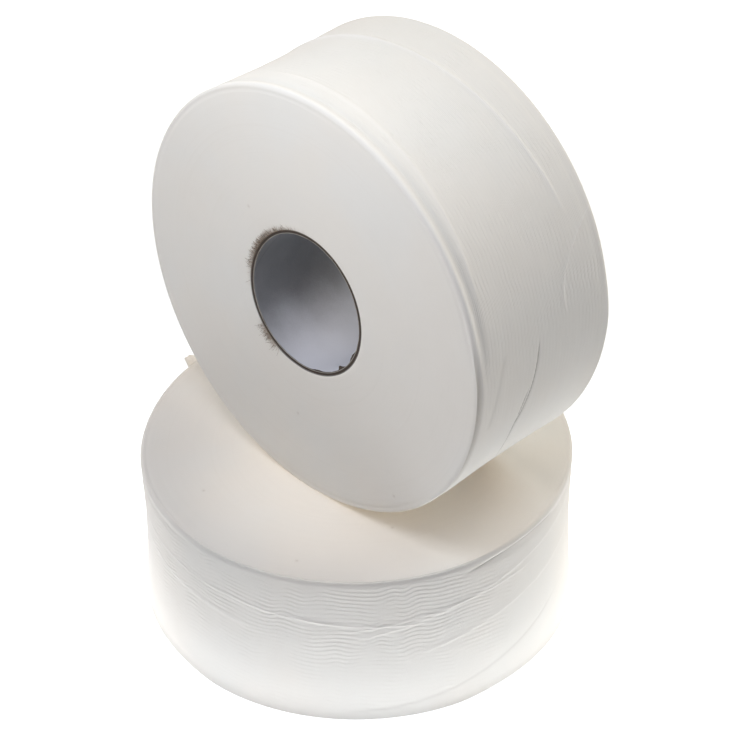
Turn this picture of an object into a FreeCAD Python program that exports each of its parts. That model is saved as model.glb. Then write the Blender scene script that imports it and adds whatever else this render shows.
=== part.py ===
import FreeCAD, Part
import math
import os

# Two large rolls of toilet tissue, each wound on a board core.
# The lower roll lies flat on the table, and the upper roll stands on its rim on top of it.
# Millimetres, +Z up. The origin is on the lower roll's axis, at the table.
# +Y runs along the upper roll's level axis, from the end shown at the front to the hidden end.

# Both rolls are the same size.
roll_radius = 114.0
roll_width = 93.0

# Board core: a plain tube with its ends a little inside the paper's end faces.
core_outer_radius = 38.8
core_wall = 1.5
core_recess = 0.4
wrap_clearance = 0.05

# Rounded lip along each rim, with a broad crease behind it, and a slight waist between the lips.
lip_width = 10.5
lip_rounding = 3.0
crease_width = 5.5
crease_depth = 1.0
waist_depth = 1.3

# One raised wrinkle runs round each side, at its own distance behind the shown end.
lower_wrinkle_from_shown_end = 28.0
upper_wrinkle_from_shown_end = 69.0
wrinkle_width = 3.0
wrinkle_height = 0.7

# Loose turns show on each end face as shallow rings.
turn_ring_count = 3
turn_ring_width = 1.5
turn_ring_depth = 0.3

# The sheet's end is a step along the side. Behind it the surface drops by one sheet.
sheet_step = 0.4
lower_sheet_end_angle = 187.0
upper_sheet_end_angle = 205.0

# A corner of the lower roll's sheet end has come loose and stands above the rim.
loose_corner_width = 12.0
loose_corner_rise = 6.0
loose_corner_root = 7.0
loose_corner_thickness = 0.8
loose_corner_lean = 30.0
loose_corner_tip_shift = 3.0

# The upper roll's place on the lower one, and how far its soft rim is pressed flat.
upper_offset_x = 11.0
upper_offset_y = 2.0
rim_flattening = 0.6

# Worked out from the sizes above.
paper_bore_radius = core_outer_radius + wrap_clearance
core_inner_radius = core_outer_radius - core_wall
core_length = roll_width - 2 * core_recess
seat_height = roll_width
upper_axis_height = seat_height + roll_radius - rim_flattening

axis_up = FreeCAD.Vector(0, 0, 1)
centre = FreeCAD.Vector(0, 0, 0)


def section_point(radius, height):
    """A point of a roll's half section, in the plane through its axis."""
    return FreeCAD.Vector(radius, 0, height)


def line(start, end):
    return Part.LineSegment(section_point(*start), section_point(*end)).toShape()


def arc(start, middle, end):
    return Part.Arc(section_point(*start), section_point(*middle), section_point(*end)).toShape()


def run_of_lines(points):
    """Straight edges of the half section from each point to the next."""
    return [line(start, end) for start, end in zip(points, points[1:])]


def waist_radius(height, outer_radius):
    """Radius of the waisted side at a height, full at the lips' inner edges and least halfway."""
    half_span = roll_width / 2 - lip_width
    share = (height - roll_width / 2) / half_span
    return outer_radius - waist_depth * (1 - share * share)


def lip_edges(outer_radius, face, inward):
    """The rounded lip at one end: face is its height and inward is +1 or -1 along the axis."""
    diagonal = lip_rounding * (1 - math.sqrt(0.5))
    rounding_start = (outer_radius - lip_rounding, face)
    rounding_middle = (outer_radius - diagonal, face + inward * diagonal)
    rounding_end = (outer_radius, face + inward * lip_rounding)
    crease_start = (outer_radius, face + inward * (lip_width - crease_width))
    crease_bottom = (outer_radius - crease_depth, face + inward * (lip_width - crease_width / 2))
    crease_end = (outer_radius, face + inward * lip_width)
    edges = [arc(rounding_start, rounding_middle, rounding_end)]
    edges += run_of_lines([rounding_end, crease_start, crease_bottom, crease_end])
    return edges, rounding_start, crease_end


def side_edges(outer_radius, crest_height, low, high):
    """The waisted side between the two creases, with the raised wrinkle on it."""
    wrinkle_low = crest_height - wrinkle_width / 2
    wrinkle_high = crest_height + wrinkle_width / 2
    below = (low[1] + wrinkle_low) / 2
    above = (high[1] + wrinkle_high) / 2
    points = [low]
    points += [(waist_radius(height, outer_radius), height) for height in (below, wrinkle_low)]
    points.append((waist_radius(crest_height, outer_radius) + wrinkle_height, crest_height))
    points += [(waist_radius(height, outer_radius), height) for height in (wrinkle_high, above)]
    points.append(high)
    return run_of_lines(points)


def wound_disc(outer_radius, crest_height):
    """A full turned disc of paper with lips, creases, waist and wrinkle, before its bore."""
    base_lip, base_start, base_end = lip_edges(outer_radius, 0, 1)
    shown_lip, shown_start, shown_end = lip_edges(outer_radius, roll_width, -1)
    edges = [line((0, 0), base_start)]
    edges += base_lip
    edges += side_edges(outer_radius, crest_height, base_end, shown_end)
    edges += shown_lip
    edges.append(line(shown_start, (0, roll_width)))
    edges.append(line((0, roll_width), (0, 0)))
    section = Part.Face(Part.Wire(Part.__sortEdges__(edges)))
    return section.revolve(centre, axis_up, 360)


def half_space(side):
    """A block over the +Y or -Y half of a roll, larger than the roll."""
    reach = 2 * roll_radius
    corner_y = 0 if side > 0 else -reach
    corner = FreeCAD.Vector(-reach, corner_y, -roll_width)
    return Part.makeBox(2 * reach, reach, 3 * roll_width, corner)


def spiral_disc(crest_height):
    """The disc as it is wound: two half turns about centres half a sheet apart.

    The halves meet smoothly on the +X side and leave the sheet's end as a step on the -X side.
    """
    full_half = wound_disc(roll_radius, crest_height).common(half_space(-1))
    smaller = wound_disc(roll_radius - sheet_step / 2, crest_height)
    smaller.translate(FreeCAD.Vector(sheet_step / 2, 0, 0))
    return full_half.fuse(smaller.common(half_space(1)))


def turn_rings(face, inward):
    """Shallow V rings on one end face, evenly spaced between the core and the lip."""
    span = roll_radius - lip_rounding - paper_bore_radius
    pitch = span / (turn_ring_count + 1)
    rings = []
    for index in range(turn_ring_count):
        radius = paper_bore_radius + pitch * (index + 1)
        outside = face - inward * turn_ring_depth
        tip = (radius, face + inward * turn_ring_depth)
        inner = (radius - turn_ring_width, outside)
        outer = (radius + turn_ring_width, outside)
        wire = Part.Wire([line(inner, tip), line(tip, outer), line(outer, inner)])
        rings.append(Part.Face(wire).revolve(centre, axis_up, 360))
    return rings


def wound_paper(wrinkle_from_shown_end):
    """One roll's paper, all turns as one solid, axis along Z with its base at the origin."""
    paper = spiral_disc(roll_width - wrinkle_from_shown_end)
    bore = Part.makeCylinder(paper_bore_radius, roll_width * 2, section_point(0, -roll_width / 2))
    cutters = [bore] + turn_rings(0, 1) + turn_rings(roll_width, -1)
    return paper.cut(Part.makeCompound(cutters))


def loose_corner():
    """The lifted corner of the sheet's end, on the -X side, leaning outwards from the rim."""
    root_height = roll_width - loose_corner_root
    root_radius = roll_radius - lip_rounding
    back = FreeCAD.Vector(-root_radius, loose_corner_width / 2, root_height)
    front = FreeCAD.Vector(-root_radius, -loose_corner_width / 2, root_height)
    tip = FreeCAD.Vector(-root_radius, -loose_corner_tip_shift, roll_width + loose_corner_rise)
    triangle = Part.Face(Part.makePolygon([back, front, tip, back]))
    flap = triangle.extrude(FreeCAD.Vector(-loose_corner_thickness, 0, 0))
    flap.rotate(FreeCAD.Vector(-root_radius, 0, root_height), FreeCAD.Vector(0, 1, 0), -loose_corner_lean)
    return flap


def board_core():
    """One roll's core tube, axis along Z."""
    base = section_point(0, core_recess)
    outer = Part.makeCylinder(core_outer_radius, core_length, base)
    inner = Part.makeCylinder(core_inner_radius, core_length, base)
    return outer.cut(inner)


def stand_on_rim(shape):
    """Turn a roll's part so that its axis is level along Y, and set it on the lower roll."""
    placed = shape.copy()
    placed.translate(FreeCAD.Vector(0, 0, -roll_width / 2))
    placed.rotate(centre, FreeCAD.Vector(1, 0, 0), 90)
    placed.translate(FreeCAD.Vector(upper_offset_x, upper_offset_y, upper_axis_height))
    return placed


def lower_roll_paper():
    paper = wound_paper(lower_wrinkle_from_shown_end).fuse(loose_corner())
    paper.rotate(centre, axis_up, lower_sheet_end_angle - 180)
    return paper


def upper_roll_paper():
    """The upper roll's paper, pressed flat where its rim rests on the lower roll."""
    paper = wound_paper(upper_wrinkle_from_shown_end)
    paper.rotate(centre, axis_up, upper_sheet_end_angle - 180)
    placed = stand_on_rim(paper)
    reach = 2 * roll_radius
    pressed_away = Part.makeBox(2 * reach, 2 * reach, reach, FreeCAD.Vector(-reach, -reach, seat_height - reach))
    return placed.cut(pressed_away)


def one_solid(shape):
    """The single solid that a chain of cuts and joins leaves."""
    return shape.removeSplitter().Solids[0]


parts = {
    "lower_roll_core": board_core(),
    "lower_roll_paper": one_solid(lower_roll_paper()),
    "upper_roll_core": stand_on_rim(board_core()),
    "upper_roll_paper": one_solid(upper_roll_paper()),
}

os.makedirs("parts", exist_ok=True)
for name, shape in parts.items():
    shape.exportStep("parts/" + name + ".step")
    size = shape.BoundBox
    print(name, shape.ShapeType, "valid", shape.isValid(), "volume", round(shape.Volume), "mm3")
    print("  box", round(size.XLength, 2), round(size.YLength, 2), round(size.ZLength, 2))
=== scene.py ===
# %% [markdown]
# # Two large rolls of toilet tissue
#
# One roll lies flat and the other stands on its rim on top of it. A tissue roll looks simple, and
# what makes it read as real is small: the soft lip that the winding leaves along each rim, fine wavy
# crepe lines round the side, a few long creases, loose turns on the end faces, and the torn brown
# edge of the board core. This file builds those on a frame of solids that is already the right size.

# %% Load the frame of solids
import math

import bpy
from mathutils import Matrix, Vector


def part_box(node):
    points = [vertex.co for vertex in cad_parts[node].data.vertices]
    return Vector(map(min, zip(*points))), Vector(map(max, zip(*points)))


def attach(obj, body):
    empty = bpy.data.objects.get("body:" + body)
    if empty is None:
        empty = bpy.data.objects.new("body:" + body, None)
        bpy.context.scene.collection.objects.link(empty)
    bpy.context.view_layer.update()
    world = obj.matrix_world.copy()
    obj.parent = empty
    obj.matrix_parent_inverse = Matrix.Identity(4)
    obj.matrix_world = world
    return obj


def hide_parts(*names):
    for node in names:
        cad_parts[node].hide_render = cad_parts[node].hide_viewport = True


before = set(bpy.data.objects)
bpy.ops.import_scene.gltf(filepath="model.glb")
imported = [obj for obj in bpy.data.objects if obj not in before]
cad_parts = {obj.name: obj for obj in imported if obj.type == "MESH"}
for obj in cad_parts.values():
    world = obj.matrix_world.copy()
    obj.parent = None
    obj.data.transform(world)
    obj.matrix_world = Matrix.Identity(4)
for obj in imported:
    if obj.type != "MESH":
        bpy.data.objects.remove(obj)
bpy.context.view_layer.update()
scene = bpy.context.scene
print("solids:", sorted(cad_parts))

# %% [markdown]
# ## Sizes come from the solids
#
# The board cores are plain tubes, so their boxes give the axes and the core's radius. The lower
# roll's box gives the outer radius, on the side away from its loose corner. Everything below is
# worked out from these few values, so the pieces fit the solids with no fitting by eye.

# %% Read the rolls' sizes
MM = 0.001

lower_low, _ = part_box("lower_roll_paper")
upper_low, upper_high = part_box("upper_roll_paper")
core_low, core_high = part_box("upper_roll_core")
lower_core_low, lower_core_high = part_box("lower_roll_core")

roll_radius = -lower_low.y
roll_width = upper_high.y - upper_low.y
core_radius = (core_high.x - core_low.x) / 2
core_recess = lower_core_low.z
core_length = lower_core_high.z - lower_core_low.z
core_wall = 1.5 * MM
upper_axis = (core_low + core_high) / 2
seat_height = upper_low.z
flat_level = upper_axis.z - seat_height
print("roll radius", round(roll_radius, 4), "width", round(roll_width, 4), "core", round(core_radius, 4))

# %% [markdown]
# ## Node trees written as sums
#
# A node tree is a sum drawn as boxes. Written out one box at a time it is long and hard to follow, so
# this small class lets a tree's numbers be used in ordinary Python sums. Each sum adds one Math node.
# The same nodes exist in geometry trees and in shader trees, so it serves both.

# %% A number in a node tree
def feed(entry, value):
    """Gives a socket a plain value, or links it to another socket or a number that varies."""
    if isinstance(value, Field):
        value = value.socket
    if isinstance(value, bpy.types.NodeSocket):
        entry.id_data.links.new(value, entry)
    else:
        entry.default_value = value


def add(tree, kind, **values):
    """Adds a node and feeds its inputs by name, with underscores standing for spaces."""
    node = tree.nodes.new(kind)
    for label, value in values.items():
        feed(node.inputs[label.replace("_", " ")], value)
    return node


def reckon(tree, operation, *values):
    """Adds one Math node and returns its result."""
    node = tree.nodes.new("ShaderNodeMath")
    node.operation = operation
    for entry, value in zip(node.inputs, values):
        feed(entry, value)
    return Field(node.outputs[0])


class Field:
    """A number that varies over a surface: one output of a node."""

    def __init__(self, socket):
        self.socket = socket
        self.tree = socket.id_data

    def __add__(self, other):
        return reckon(self.tree, "ADD", self, other)

    def __sub__(self, other):
        return reckon(self.tree, "SUBTRACT", self, other)

    def __rsub__(self, other):
        return reckon(self.tree, "SUBTRACT", other, self)

    def __mul__(self, other):
        return reckon(self.tree, "MULTIPLY", self, other)

    def __truediv__(self, other):
        return reckon(self.tree, "DIVIDE", self, other)

    def __rtruediv__(self, other):
        return reckon(self.tree, "DIVIDE", other, self)

    def act(self, operation, *others):
        """Any other Math operation, such as SINE or MINIMUM."""
        return reckon(self.tree, operation, self, *others)

    __radd__ = __add__
    __rmul__ = __mul__


print("sums ready")

# %% [markdown]
# ## Small rules used again and again
#
# Most relief and most masks are made of a few shapes: an even rise, a soft bump, noise, and the distance
# from an angle or an end. Each is one short function here, so the rules further down read as sentences.

# %% Rises, bumps and places
def ramp(value, low, high, smooth=True):
    """0 below low, 1 above high, and an even rise between."""
    node = add(value.tree, "ShaderNodeMapRange", Value=value, From_Min=low, From_Max=high)
    node.interpolation_type = "SMOOTHSTEP" if smooth else "LINEAR"
    return Field(node.outputs["Result"])


def bell(value, centre, width):
    """A soft bump of height 1 at centre, which falls to about a third one width away."""
    away = (value - centre) / width
    return (away * away * -1.0).act("EXPONENT")


def vector_of(tree, x, y, z):
    node = tree.nodes.new("ShaderNodeCombineXYZ")
    for entry, value in zip(node.inputs, (x, y, z)):
        feed(entry, value)
    return node.outputs[0]


def parts_of(tree, vector):
    node = tree.nodes.new("ShaderNodeSeparateXYZ")
    tree.links.new(vector, node.inputs[0])
    return [Field(output) for output in node.outputs]


def on_circle(tree, angle, size, height, shift_x=0.0, shift_y=0.0):
    """A place on a circle. Noise read there has no seam where the angle starts again."""
    x = angle.act("COSINE") * size + shift_x
    y = angle.act("SINE") * size + shift_y
    return vector_of(tree, x, y, height)


def from_end(behind):
    """The distance to the nearer end face."""
    return behind.act("MINIMUM", roll_width - behind)


def turn_from(angle, middle):
    """The turn from middle to angle, at most half a turn either way."""
    return (angle - middle).act("WRAP", math.pi, -math.pi)


def noise(tree, vector, scale, detail=2.0):
    """Soft noise between about -0.5 and 0.5."""
    node = add(tree, "ShaderNodeTexNoise", Vector=vector, Scale=scale, Detail=detail)
    return Field(node.outputs[0]) - 0.5


print("rises, bumps and places ready")

# %% [markdown]
# ## Node groups with named inputs
#
# A rule that both meshes and finishes need is a node group. Its inputs have names, so the same group can
# be placed many times with other values, and a reader can see what each value is for.

# %% Node groups
def new_tree(name, kind, inputs, outputs):
    """An empty node group with named inputs and outputs, and its two end nodes."""
    tree = bpy.data.node_groups.new(name, kind)
    for label, socket_kind, value in inputs:
        entry = tree.interface.new_socket(label, in_out="INPUT", socket_type=socket_kind)
        if value is not None:
            entry.default_value = value
    for label, socket_kind in outputs:
        tree.interface.new_socket(label, in_out="OUTPUT", socket_type=socket_kind)
    return tree, tree.nodes.new("NodeGroupInput"), tree.nodes.new("NodeGroupOutput")


def numbers_of(start):
    """A group's number inputs, by name."""
    return {socket.name: Field(socket) for socket in start.outputs if socket.type == "VALUE"}


def use_group(tree, group, **values):
    """Places a node group in a tree and feeds it by name."""
    node = tree.nodes.new(tree.bl_idname.replace("NodeTree", "NodeGroup"))
    node.node_tree = group
    for label, value in values.items():
        feed(node.inputs[label.replace("_", " ")], value)
    return node


def number_inputs(**defaults):
    """Number inputs for a tree, with underscores in their names standing for spaces."""
    return [(label.replace("_", " "), "NodeSocketFloat", value) for label, value in defaults.items()]


print("node groups ready")

# %% [markdown]
# ## The camera
#
# The rolls are drawn in the photograph from above, with a long lens. The values below come from
# fitting two equal discs to the outlines in it: the place of the camera, how far it looks down, how
# far it is turned from the upper roll's axis, and a small roll about its own line of sight.

# %% Set the camera
PHOTO_SIDE = 730
camera_place = Vector((692.3, -680.4, 827.8)) * MM
camera_pitch = math.radians(35.23)
camera_turn = math.radians(45.195)
camera_roll = math.radians(-0.83)
focal_pixels = 2309.6
sensor_width = 36.0

camera_data = bpy.data.cameras.new("camera")
camera_data.sensor_width = sensor_width
camera_data.lens = focal_pixels / PHOTO_SIDE * sensor_width
camera = bpy.data.objects.new("camera", camera_data)
scene.collection.objects.link(camera)
upright = Matrix.Rotation(camera_turn, 4, "Z") @ Matrix.Rotation(math.pi / 2 - camera_pitch, 4, "X")
camera.matrix_world = Matrix.Translation(camera_place) @ upright @ Matrix.Rotation(camera_roll, 4, "Z")
scene.camera = camera
print("lens", round(camera_data.lens, 1), "mm")

# %% [markdown]
# ## Where a point is on a roll
#
# Every rule about a roll is easiest in the roll's own terms: the angle round its axis, the distance
# from the axis, and how far the point is behind the end that the photograph shows. This group turns a
# point into those three. It is built once for meshes and once for finishes, with the same sums.

# %% Roll terms, for meshes and for finishes
MESH = "GeometryNodeTree"
FINISH = "ShaderNodeTree"
NUMBER = "NodeSocketFloat"
VECTOR = "NodeSocketVector"


def roll_terms(kind):
    labels = ("Angle", "Radius", "Behind")
    outputs = [(label, NUMBER) for label in labels] + [("Round", VECTOR)]
    tree, start, end = new_tree("Roll terms " + kind[:4], kind, [("Point", VECTOR, None)], outputs)
    x, y, z = parts_of(tree, start.outputs["Point"])
    angle = y.act("ARCTAN2", x)
    for label, value in zip(labels, (angle, (x * x + y * y).act("SQRT"), roll_width - z)):
        feed(end.inputs[label], value)
    feed(end.inputs["Round"], on_circle(tree, angle, 1.0, 0.0))
    return tree


terms = {kind: roll_terms(kind) for kind in (MESH, FINISH)}


def roll_place(tree, point):
    """A point's angle, radius, distance behind the shown end, and the direction it lies in."""
    here = use_group(tree, terms[tree.bl_idname], Point=point)
    angle, radius, behind = [Field(here.outputs[label]) for label in ("Angle", "Radius", "Behind")]
    return angle, radius, behind, here.outputs["Round"]


print(len(terms), "kinds of roll terms")

# %% [markdown]
# ## Crepe
#
# Tissue is creped: it is scraped off a drying drum, which leaves fine parallel waves. Wound on a roll,
# the waves run round the side and wander up and down a little, like wood grain. The group gives the
# height of the waves at a point. The mesh uses it for real relief, and the finish uses the same waves
# and finer ones as bump. The plain numbers at each noise say how many patches fit round the roll and in
# a metre along it.

# %% Crepe waves
def crepe_waves(kind):
    inputs = number_inputs(
        Angle=0.0, Behind=0.0, Pitch=2.7 * MM, Waves_round_the_roll=25.0, Wander=1.5 * MM,
        Breaks=0.0, Seed=0.0,
    )
    tree, start, end = new_tree("Crepe waves " + kind[:4], kind, inputs, [("Height", NUMBER)])
    given = numbers_of(start)
    angle, behind = given["Angle"], given["Behind"]
    place = on_circle(tree, angle, 2.0, behind * 12.0, given["Seed"])
    drift = noise(tree, place, 1.3, 1.0)
    swing = (angle * given["Waves round the roll"] + drift * 22.0).act("SINE")
    shifted = behind + given["Wander"] * (swing * 0.6 + drift * 5.0)
    turn = shifted * (2 * math.pi) / given["Pitch"]
    wave = (turn + turn.act("SINE") * 0.4).act("SINE")
    strength = ramp(noise(tree, place, 4.5, 2.0), -0.2, 0.2) * 0.9 + 0.1
    dash = ramp(noise(tree, on_circle(tree, angle, 17.0, behind * 420.0), 1.0, 1.0), -0.16, 0.16)
    feed(end.inputs["Height"], wave * strength * (1.0 - given["Breaks"] * (1.0 - dash)))
    return tree


crepe = {kind: crepe_waves(kind) for kind in (MESH, FINISH)}
print("crepe waves built")

# %% [markdown]
# ## Creases
#
# A long crease is where the outer turns buckled. It follows a shallow curve round the side: three
# places on it are enough. A place is an angle round the roll and a distance behind the shown end, and
# the curve through the three is a parabola. The group returns 1 on the line and fades off it. A raised
# crease leans: it climbs gently on one side and drops on the other, which catches the light as a line.
# A positive height stands out and a negative one is a cut. The finish paints a highlight along a raised
# crease and shade along a cut.

# %% Crease lines
def crease_line(kind):
    inputs = number_inputs(
        Angle=0.0, Behind=0.0, Middle_angle=0.0, Middle_behind=0.0, Slope=0.0, Bend=0.0,
        Half_length=0.5, Width=1.0 * MM, Lean=0.0,
    )
    tree, start, end = new_tree("Crease line " + kind[:4], kind, inputs, [("Line", NUMBER)])
    given = numbers_of(start)
    along = turn_from(given["Angle"], given["Middle angle"])
    path = given["Middle behind"] + given["Slope"] * along + given["Bend"] * along * along
    off = given["Behind"] - path
    inside = 1.0 - ramp(along.act("ABSOLUTE") / given["Half length"], 0.7, 1.0)
    gentle = (off.act("SIGN") * given["Lean"] * -1.0).act("MAXIMUM", 0.0) * 2.0 + 1.0
    off_widths = off / (given["Width"] * gentle)
    feed(end.inputs["Line"], (off_widths * off_widths * -1.0).act("EXPONENT") * inside)
    return tree


creases = {kind: crease_line(kind) for kind in (MESH, FINISH)}


def crease_through(first, middle, last, width, height, lean=0.0):
    """Values for a crease through three (angle in degrees, mm behind the shown end) places."""
    (a0, b0), (a1, b1), (a2, b2) = [(math.radians(a), b * MM) for a, b in (first, middle, last)]
    rise_before = (b1 - b0) / (a1 - a0)
    rise_after = (b2 - b1) / (a2 - a1)
    bend = (rise_after - rise_before) / (a2 - a0)
    values = {
        "Middle_angle": a1,
        "Middle_behind": b1,
        "Slope": rise_before + bend * (a1 - a0),
        "Bend": bend,
        "Half_length": max(abs(a0 - a1), abs(a2 - a1)),
        "Width": width * MM,
        "Lean": lean,
    }
    return values, height * MM


upper_creases = [crease_through(*row) for row in (
    ((132, 64.5), (80, 68.2), (28, 76.5), 0.7, 0.32, 1.0),
    ((136, 64.2), (116, 65.3), (92, 67.0), 1.1, 0.5, 1.0),
    ((100, 16.5), (66, 14.6), (20, 9.0), 1.2, 0.2, 1.0),
    ((25, 77), (20, 68), (8, 64), 0.6, 0.2, 1.0),
    ((6, 44), (-8, 40), (-19, 33.8), 0.55, -0.45),
    ((-12, 36), (-21, 34.0), (-36, 39), 0.55, -0.4),
    ((6, 19), (-3, 14.3), (-14, 10.5), 2.2, -0.08),
)]
lower_creases = [crease_through(*row) for row in (
    ((-128, 25), (-86, 25.2), (-48, 29.4), 0.55, 0.22, 1.0),
    ((-64, 26.2), (-46, 29.8), (-28, 31.5), 0.5, 0.2, 1.0),
    ((-38, 30.5), (-20, 26.0), (12, 24.0), 0.5, 0.16, 1.0),
    ((-128, 36), (-100, 37.2), (-74, 41.0), 0.6, 0.18, 1.0),
    ((-14, 6.2), (0, 3.6), (18, 5.2), 0.9, -0.3),
    ((-40, 36), (-8, 22.0), (34, 12.0), 0.8, 0.18, 1.0),
    ((-50, 87), (-14, 79.0), (22, 58.0), 1.8, -0.1),
    ((-28, 52), (2, 41.0), (36, 33.0), 0.8, 0.16, 1.0),
)]
print(len(upper_creases), "creases above and", len(lower_creases), "below")

# %% [markdown]
# ## Swellings
#
# A soft roll is never a true cylinder. It bulges a few millimetres where it was squeezed elsewhere, and
# its hidden rims stand out more than the shown ones. Each swelling has a middle, a reach round the roll
# and along it, and a height, which may be negative.

# %% Where the rolls swell
upper_swellings = [(68, 55, 93, 45, 2.8), (-25, 30, 93, 40, -1.2)]
lower_swellings = [
    (176, 26, 0, 42, 4.6),
    (100, 34, 0, 42, 2.6),
    (-138, 26, 93, 38, 2.2),
    (28, 26, 93, 48, 2.6),
    (-52, 36, 93, 34, -1.2),
]


def swelling(angle, behind, places):
    """The sum of a roll's swellings at a point, in metres."""
    return sum(
        bell(turn_from(angle, math.radians(middle)), 0.0, math.radians(reach))
        * bell(behind, behind_middle * MM, behind_reach * MM)
        * (height * MM)
        for middle, reach, behind_middle, behind_reach, height in places
    )


print(len(upper_swellings) + len(lower_swellings), "swellings")

# %% [markdown]
# ## The mouth is not quite round
#
# Board cores leave the mill round and reach the shelf a little oval. The paper's bore and the tube
# inside it share this group, so they stay together. The oval dies away a few centimetres out in the
# paper.

# %% Oval of the core
oval_height = 1.5 * MM
oval_angle = math.radians(58)
lobe_height = 0.3 * MM
oval_reach = 28.0 * MM


def oval_mouth(kind):
    inputs = number_inputs(Angle=0.0, Radius=core_radius, Share=1.0)
    tree, start, end = new_tree("Oval mouth " + kind[:4], kind, inputs, [("Out", NUMBER)])
    angle, radius, share = numbers_of(start).values()
    oval = ((angle - oval_angle) * 2.0).act("COSINE") * oval_height
    lobes = (angle * 3.0).act("SINE") * -lobe_height
    fade = 1.0 - ramp(radius, core_radius, core_radius + oval_reach)
    feed(end.inputs["Out"], (oval + lobes) * fade * share)
    return tree


mouth = {kind: oval_mouth(kind) for kind in (MESH, FINISH)}
print("the mouth's oval stands out", round(oval_height / MM, 1), "mm")

# %% [markdown]
# ## A wound roll as one rule
#
# The paper of a roll is a turned shape with small disturbances, so one geometry tree makes both rolls.
# It first lays out strips of grid: base, rims, side, end face and bore, each a share of the section.
# The strips are merged into one closed skin. Then every point is moved by the sum of what happens to
# real paper: the lip and the crease behind it, the waist, the spiral step of one sheet, crepe, soft
# dents, loose turns on the ends, and the flat where the upper roll stands. The strips come first.

# %% Strips of the section
AROUND = 360
rounding = 3.0 * MM
face_edge_band = 8.0 * MM
bore_gap = 0.05 * MM


def position_of(tree):
    return tree.nodes.new("GeometryNodeInputPosition").outputs[0]


def move_to(tree, geometry, spot):
    """Moves every point of a mesh to the place that spot gives for it."""
    return add(tree, "GeometryNodeSetPosition", Geometry=geometry, Position=spot).outputs["Geometry"]


def flat_grid(tree, columns, rows):
    """A flat grid, and the share from 0 to 1 at which each point lies along and across it."""
    grid = add(tree, "GeometryNodeMeshGrid", Size_X=1.0, Size_Y=1.0, Vertices_X=columns, Vertices_Y=rows)
    x, y, _ = parts_of(tree, position_of(tree))
    return grid.outputs["Mesh"], x + 0.5, y + 0.5


def strip(tree, steps, place):
    """One strip of grid round the axis; place turns its share across into radius and height."""
    grid, round_share, across_share = flat_grid(tree, AROUND + 1, steps + 1)
    radius, height = place(across_share)
    return move_to(tree, grid, on_circle(tree, round_share * (2 * math.pi), radius, height))


def between(start, end):
    return lambda share: share * (end - start) + start


def fixed(value):
    return lambda share: share * 0.0 + value


def straight(radius_rule, height_rule):
    return lambda share: (radius_rule(share), height_rule(share))


def rim_arc(radius, face, inward, opening):
    """A quarter round between face and side; opening is True where the strip leaves the face."""
    def place(share):
        turn = (share if opening else 1.0 - share) * (math.pi / 2)
        out = turn.act("SINE") * rounding + (radius - rounding)
        along = (1.0 - turn.act("COSINE")) * (rounding * inward) + face
        return out, along
    return place


def closed_skin(tree, strips):
    """Joins strips and merges their shared edges into one closed skin."""
    join = tree.nodes.new("GeometryNodeJoinGeometry")
    for part in strips:
        feed(join.inputs[0], part)
    merge = add(tree, "GeometryNodeMergeByDistance", Geometry=join.outputs[0], Distance=0.01 * MM)
    return merge.outputs["Geometry"]


def section_strips(tree):
    bore = core_radius + bore_gap
    face_edge = roll_radius - rounding - face_edge_band
    rim = roll_radius - rounding
    top = roll_width
    mouth_edge = bore + 3.0 * MM
    return [
        strip(tree, 5, straight(between(bore, mouth_edge), fixed(0.0))),
        strip(tree, 16, straight(between(mouth_edge, face_edge), fixed(0.0))),
        strip(tree, 10, straight(between(face_edge, rim), fixed(0.0))),
        strip(tree, 8, rim_arc(roll_radius, 0.0, 1, True)),
        strip(tree, 150, straight(fixed(roll_radius), between(rounding, top - rounding))),
        strip(tree, 8, rim_arc(roll_radius, top, -1, False)),
        strip(tree, 10, straight(between(rim, face_edge), fixed(top))),
        strip(tree, 20, straight(between(face_edge, mouth_edge), fixed(top))),
        strip(tree, 7, straight(between(mouth_edge, bore), fixed(top))),
        strip(tree, 6, straight(fixed(bore), between(top, 0.0))),
    ]


print("strips ready")

# %% [markdown]
# ## The trees' named inputs
#
# Both rolls and both sheet ends share one list of inputs. Each has a name, a kind and a starting value,
# so a roll only has to give what differs from it.

# %% Sizes and inputs of a wound roll
lip_crease_behind = 5.6 * MM
lip_crease_width = 2.4 * MM
lip_swell_height = 0.4 * MM
rim_band = (4 * MM, 9 * MM)
outer_band = (roll_radius - 6 * MM, roll_radius - 4 * MM)
edge_groove_behind = 1.5 * MM
edge_groove_width = 1.4 * MM
far_lip_share = 0.25
face_swell_height = 0.5 * MM
mouth_fall_depth = 0.45 * MM
mouth_fall_width = 0.7 * MM
face_crease_width = 0.9 * MM
face_crease_depth = 0.45 * MM
crisp_blend = math.radians(9)
crisp_fill = 0.8
calm_start = 35 * MM
calm_end = 75 * MM

mesh_output = [("Mesh", "NodeSocketGeometry")]
placing_inputs = [("Place", VECTOR, None), ("Turn", VECTOR, None), ("Finish", "NodeSocketMaterial", None)]
roll_inputs = placing_inputs + number_inputs(
    Lip_crease=1.0 * MM,
    Crisp_rim_angle=0.0,
    Crisp_rim_half=0.5,
    Edge_groove=1.5 * MM,
    Waist=1.3 * MM,
    Sheet_step=0.4 * MM,
    Sheet_end_angle=0.0,
    Crepe_pitch=2.7 * MM,
    Crepe_height=0.06 * MM,
    Crepe_wander=1.5 * MM,
    Crepe_breaks=0.0,
    Crepe_calm=0.0,
    Smooth_patch_angle=1.3,
    Smooth_patch_half=0.3,
    Dents=0.5 * MM,
    Loose_turns=0.12 * MM,
    Oval_share=1.0,
    Flat_level=1.0,
    Seed=0.0,
)
print(len(roll_inputs), "inputs")

# %% [markdown]
# ## Sharp and soft rims
#
# Along part of each rim the winding is tight and the edge is sharp, with a groove under it where the
# outer turns slipped back. Everywhere else the rim is a soft rounded lip. The section has round rims all
# over, because it is easier to fill a round rim out where it should be sharp than to round a sharp one.

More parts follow.
